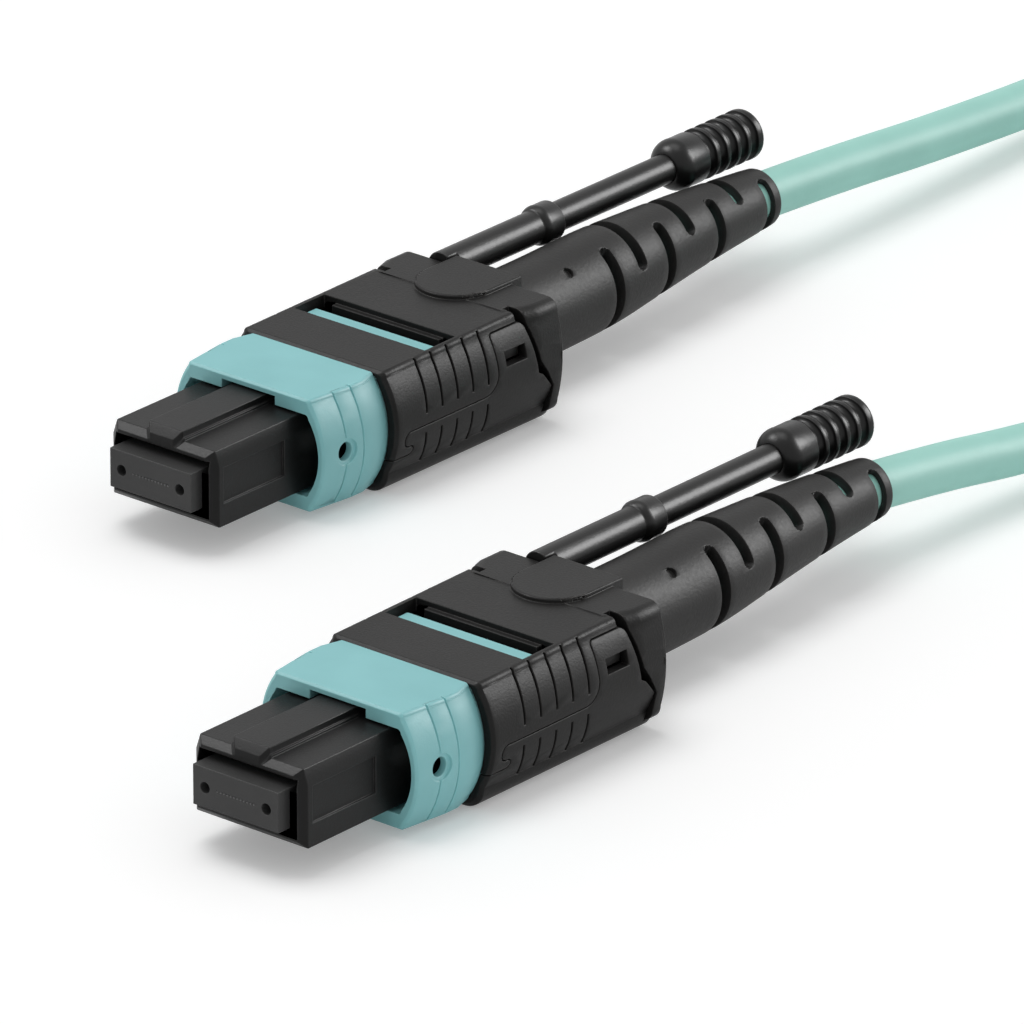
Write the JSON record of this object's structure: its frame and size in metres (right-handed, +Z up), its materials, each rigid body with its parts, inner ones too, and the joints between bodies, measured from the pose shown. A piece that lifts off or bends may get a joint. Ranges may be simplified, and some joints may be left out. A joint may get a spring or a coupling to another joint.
{
  "type": "fiber optic patch cord",
  "caption": "Multi-fibre patch cord: push-pull plugs with slotted boots and pull grips on one round cable, its spare length tied in a coil.",
  "frame": {"origin": "on the table, at the bottom centre of the box round the two connectors", "axes": "+X from the plugs along the cable, +Z up, +Y towards the far connector"},
  "size_m": [0.1715, 0.0545, 0.0093],
  "materials": {
    "plug_plastic": "satin moulded plastic",
    "tab_plastic": "fine satin texture",
    "rod_plastic": "smooth",
    "grip_plastic": "glossy",
    "coupling_plastic": "satin moulded plastic",
    "ferrule_resin": "filled resin, polished face",
    "clamp_plastic": "moulded",
    "soft_sleeve": "soft",
    "spring_wire": "drawn wire",
    "ribbon_coat": "clear coated ribbon",
    "crimp_metal": "plain",
    "boot_rubber": "matte",
    "cable_jacket": "satin jacket",
    "tie_strap": "woven strap"
  },
  "bodies": {
    "cord": {"a_inner_housing": "plug_plastic", "a_spring_push": "plug_plastic", "a_ferrule_spring": "spring_wire", "a_coupling_spring_left": "spring_wire", "a_coupling_spring_right": "spring_wire", "a_crimp_ring": "crimp_metal", "a_boot": "boot_rubber", "a_cable_in_boot": "cable_jacket", "b_inner_housing": "plug_plastic", "b_spring_push": "plug_plastic", "b_ferrule_spring": "spring_wire", "b_coupling_spring_left": "spring_wire", "b_coupling_spring_right": "spring_wire", "b_crimp_ring": "crimp_metal", "b_boot": "boot_rubber", "b_cable_in_boot": "cable_jacket", "lead_a": "cable_jacket", "lead_b": "cable_jacket", "coil": "cable_jacket", "tie": "tie_strap"},
    "a_ferrule_group": {"a_ferrule": "ferrule_resin", "a_ferrule_boot": "soft_sleeve", "a_pin_clamp": "clamp_plastic", "a_fibre_ribbon": "ribbon_coat"},
    "a_coupling_group": {"a_coupling": "coupling_plastic", "a_tab_upper_shell": "tab_plastic", "a_tab_lower_shell": "tab_plastic", "a_pull_rod": "rod_plastic", "a_pull_grip": "grip_plastic"},
    "b_ferrule_group": {"b_ferrule": "ferrule_resin", "b_ferrule_boot": "soft_sleeve", "b_pin_clamp": "clamp_plastic", "b_fibre_ribbon": "ribbon_coat"},
    "b_coupling_group": {"b_coupling": "coupling_plastic", "b_tab_upper_shell": "tab_plastic", "b_tab_lower_shell": "tab_plastic", "b_pull_rod": "rod_plastic", "b_pull_grip": "grip_plastic"}
  },
  "joints": [
    {"name": "a_ferrule_slide", "type": "slide", "parent": "cord", "child": "a_ferrule_group", "axis": [1, 0, 0], "range_m": [0, 0.0008], "stiffness_N_per_m": 4000, "springref_m": -0.0015, "deforming": ["a_ferrule_spring"]},
    {"name": "a_coupling_slide", "type": "slide", "parent": "cord", "child": "a_coupling_group", "axis": [1, 0, 0], "range_m": [0, 0.002], "stiffness_N_per_m": 1200, "springref_m": -0.0015, "deforming": ["a_coupling_spring_left", "a_coupling_spring_right"]},
    {"name": "b_ferrule_slide", "type": "slide", "parent": "cord", "child": "b_ferrule_group", "axis": [1, 0, 0], "range_m": [0, 0.0008], "stiffness_N_per_m": 4000, "springref_m": -0.0015, "deforming": ["b_ferrule_spring"]},
    {"name": "b_coupling_slide", "type": "slide", "parent": "cord", "child": "b_coupling_group", "axis": [1, 0, 0], "range_m": [0, 0.002], "stiffness_N_per_m": 1200, "springref_m": -0.0015, "deforming": ["b_coupling_spring_left", "b_coupling_spring_right"]}
  ]
}
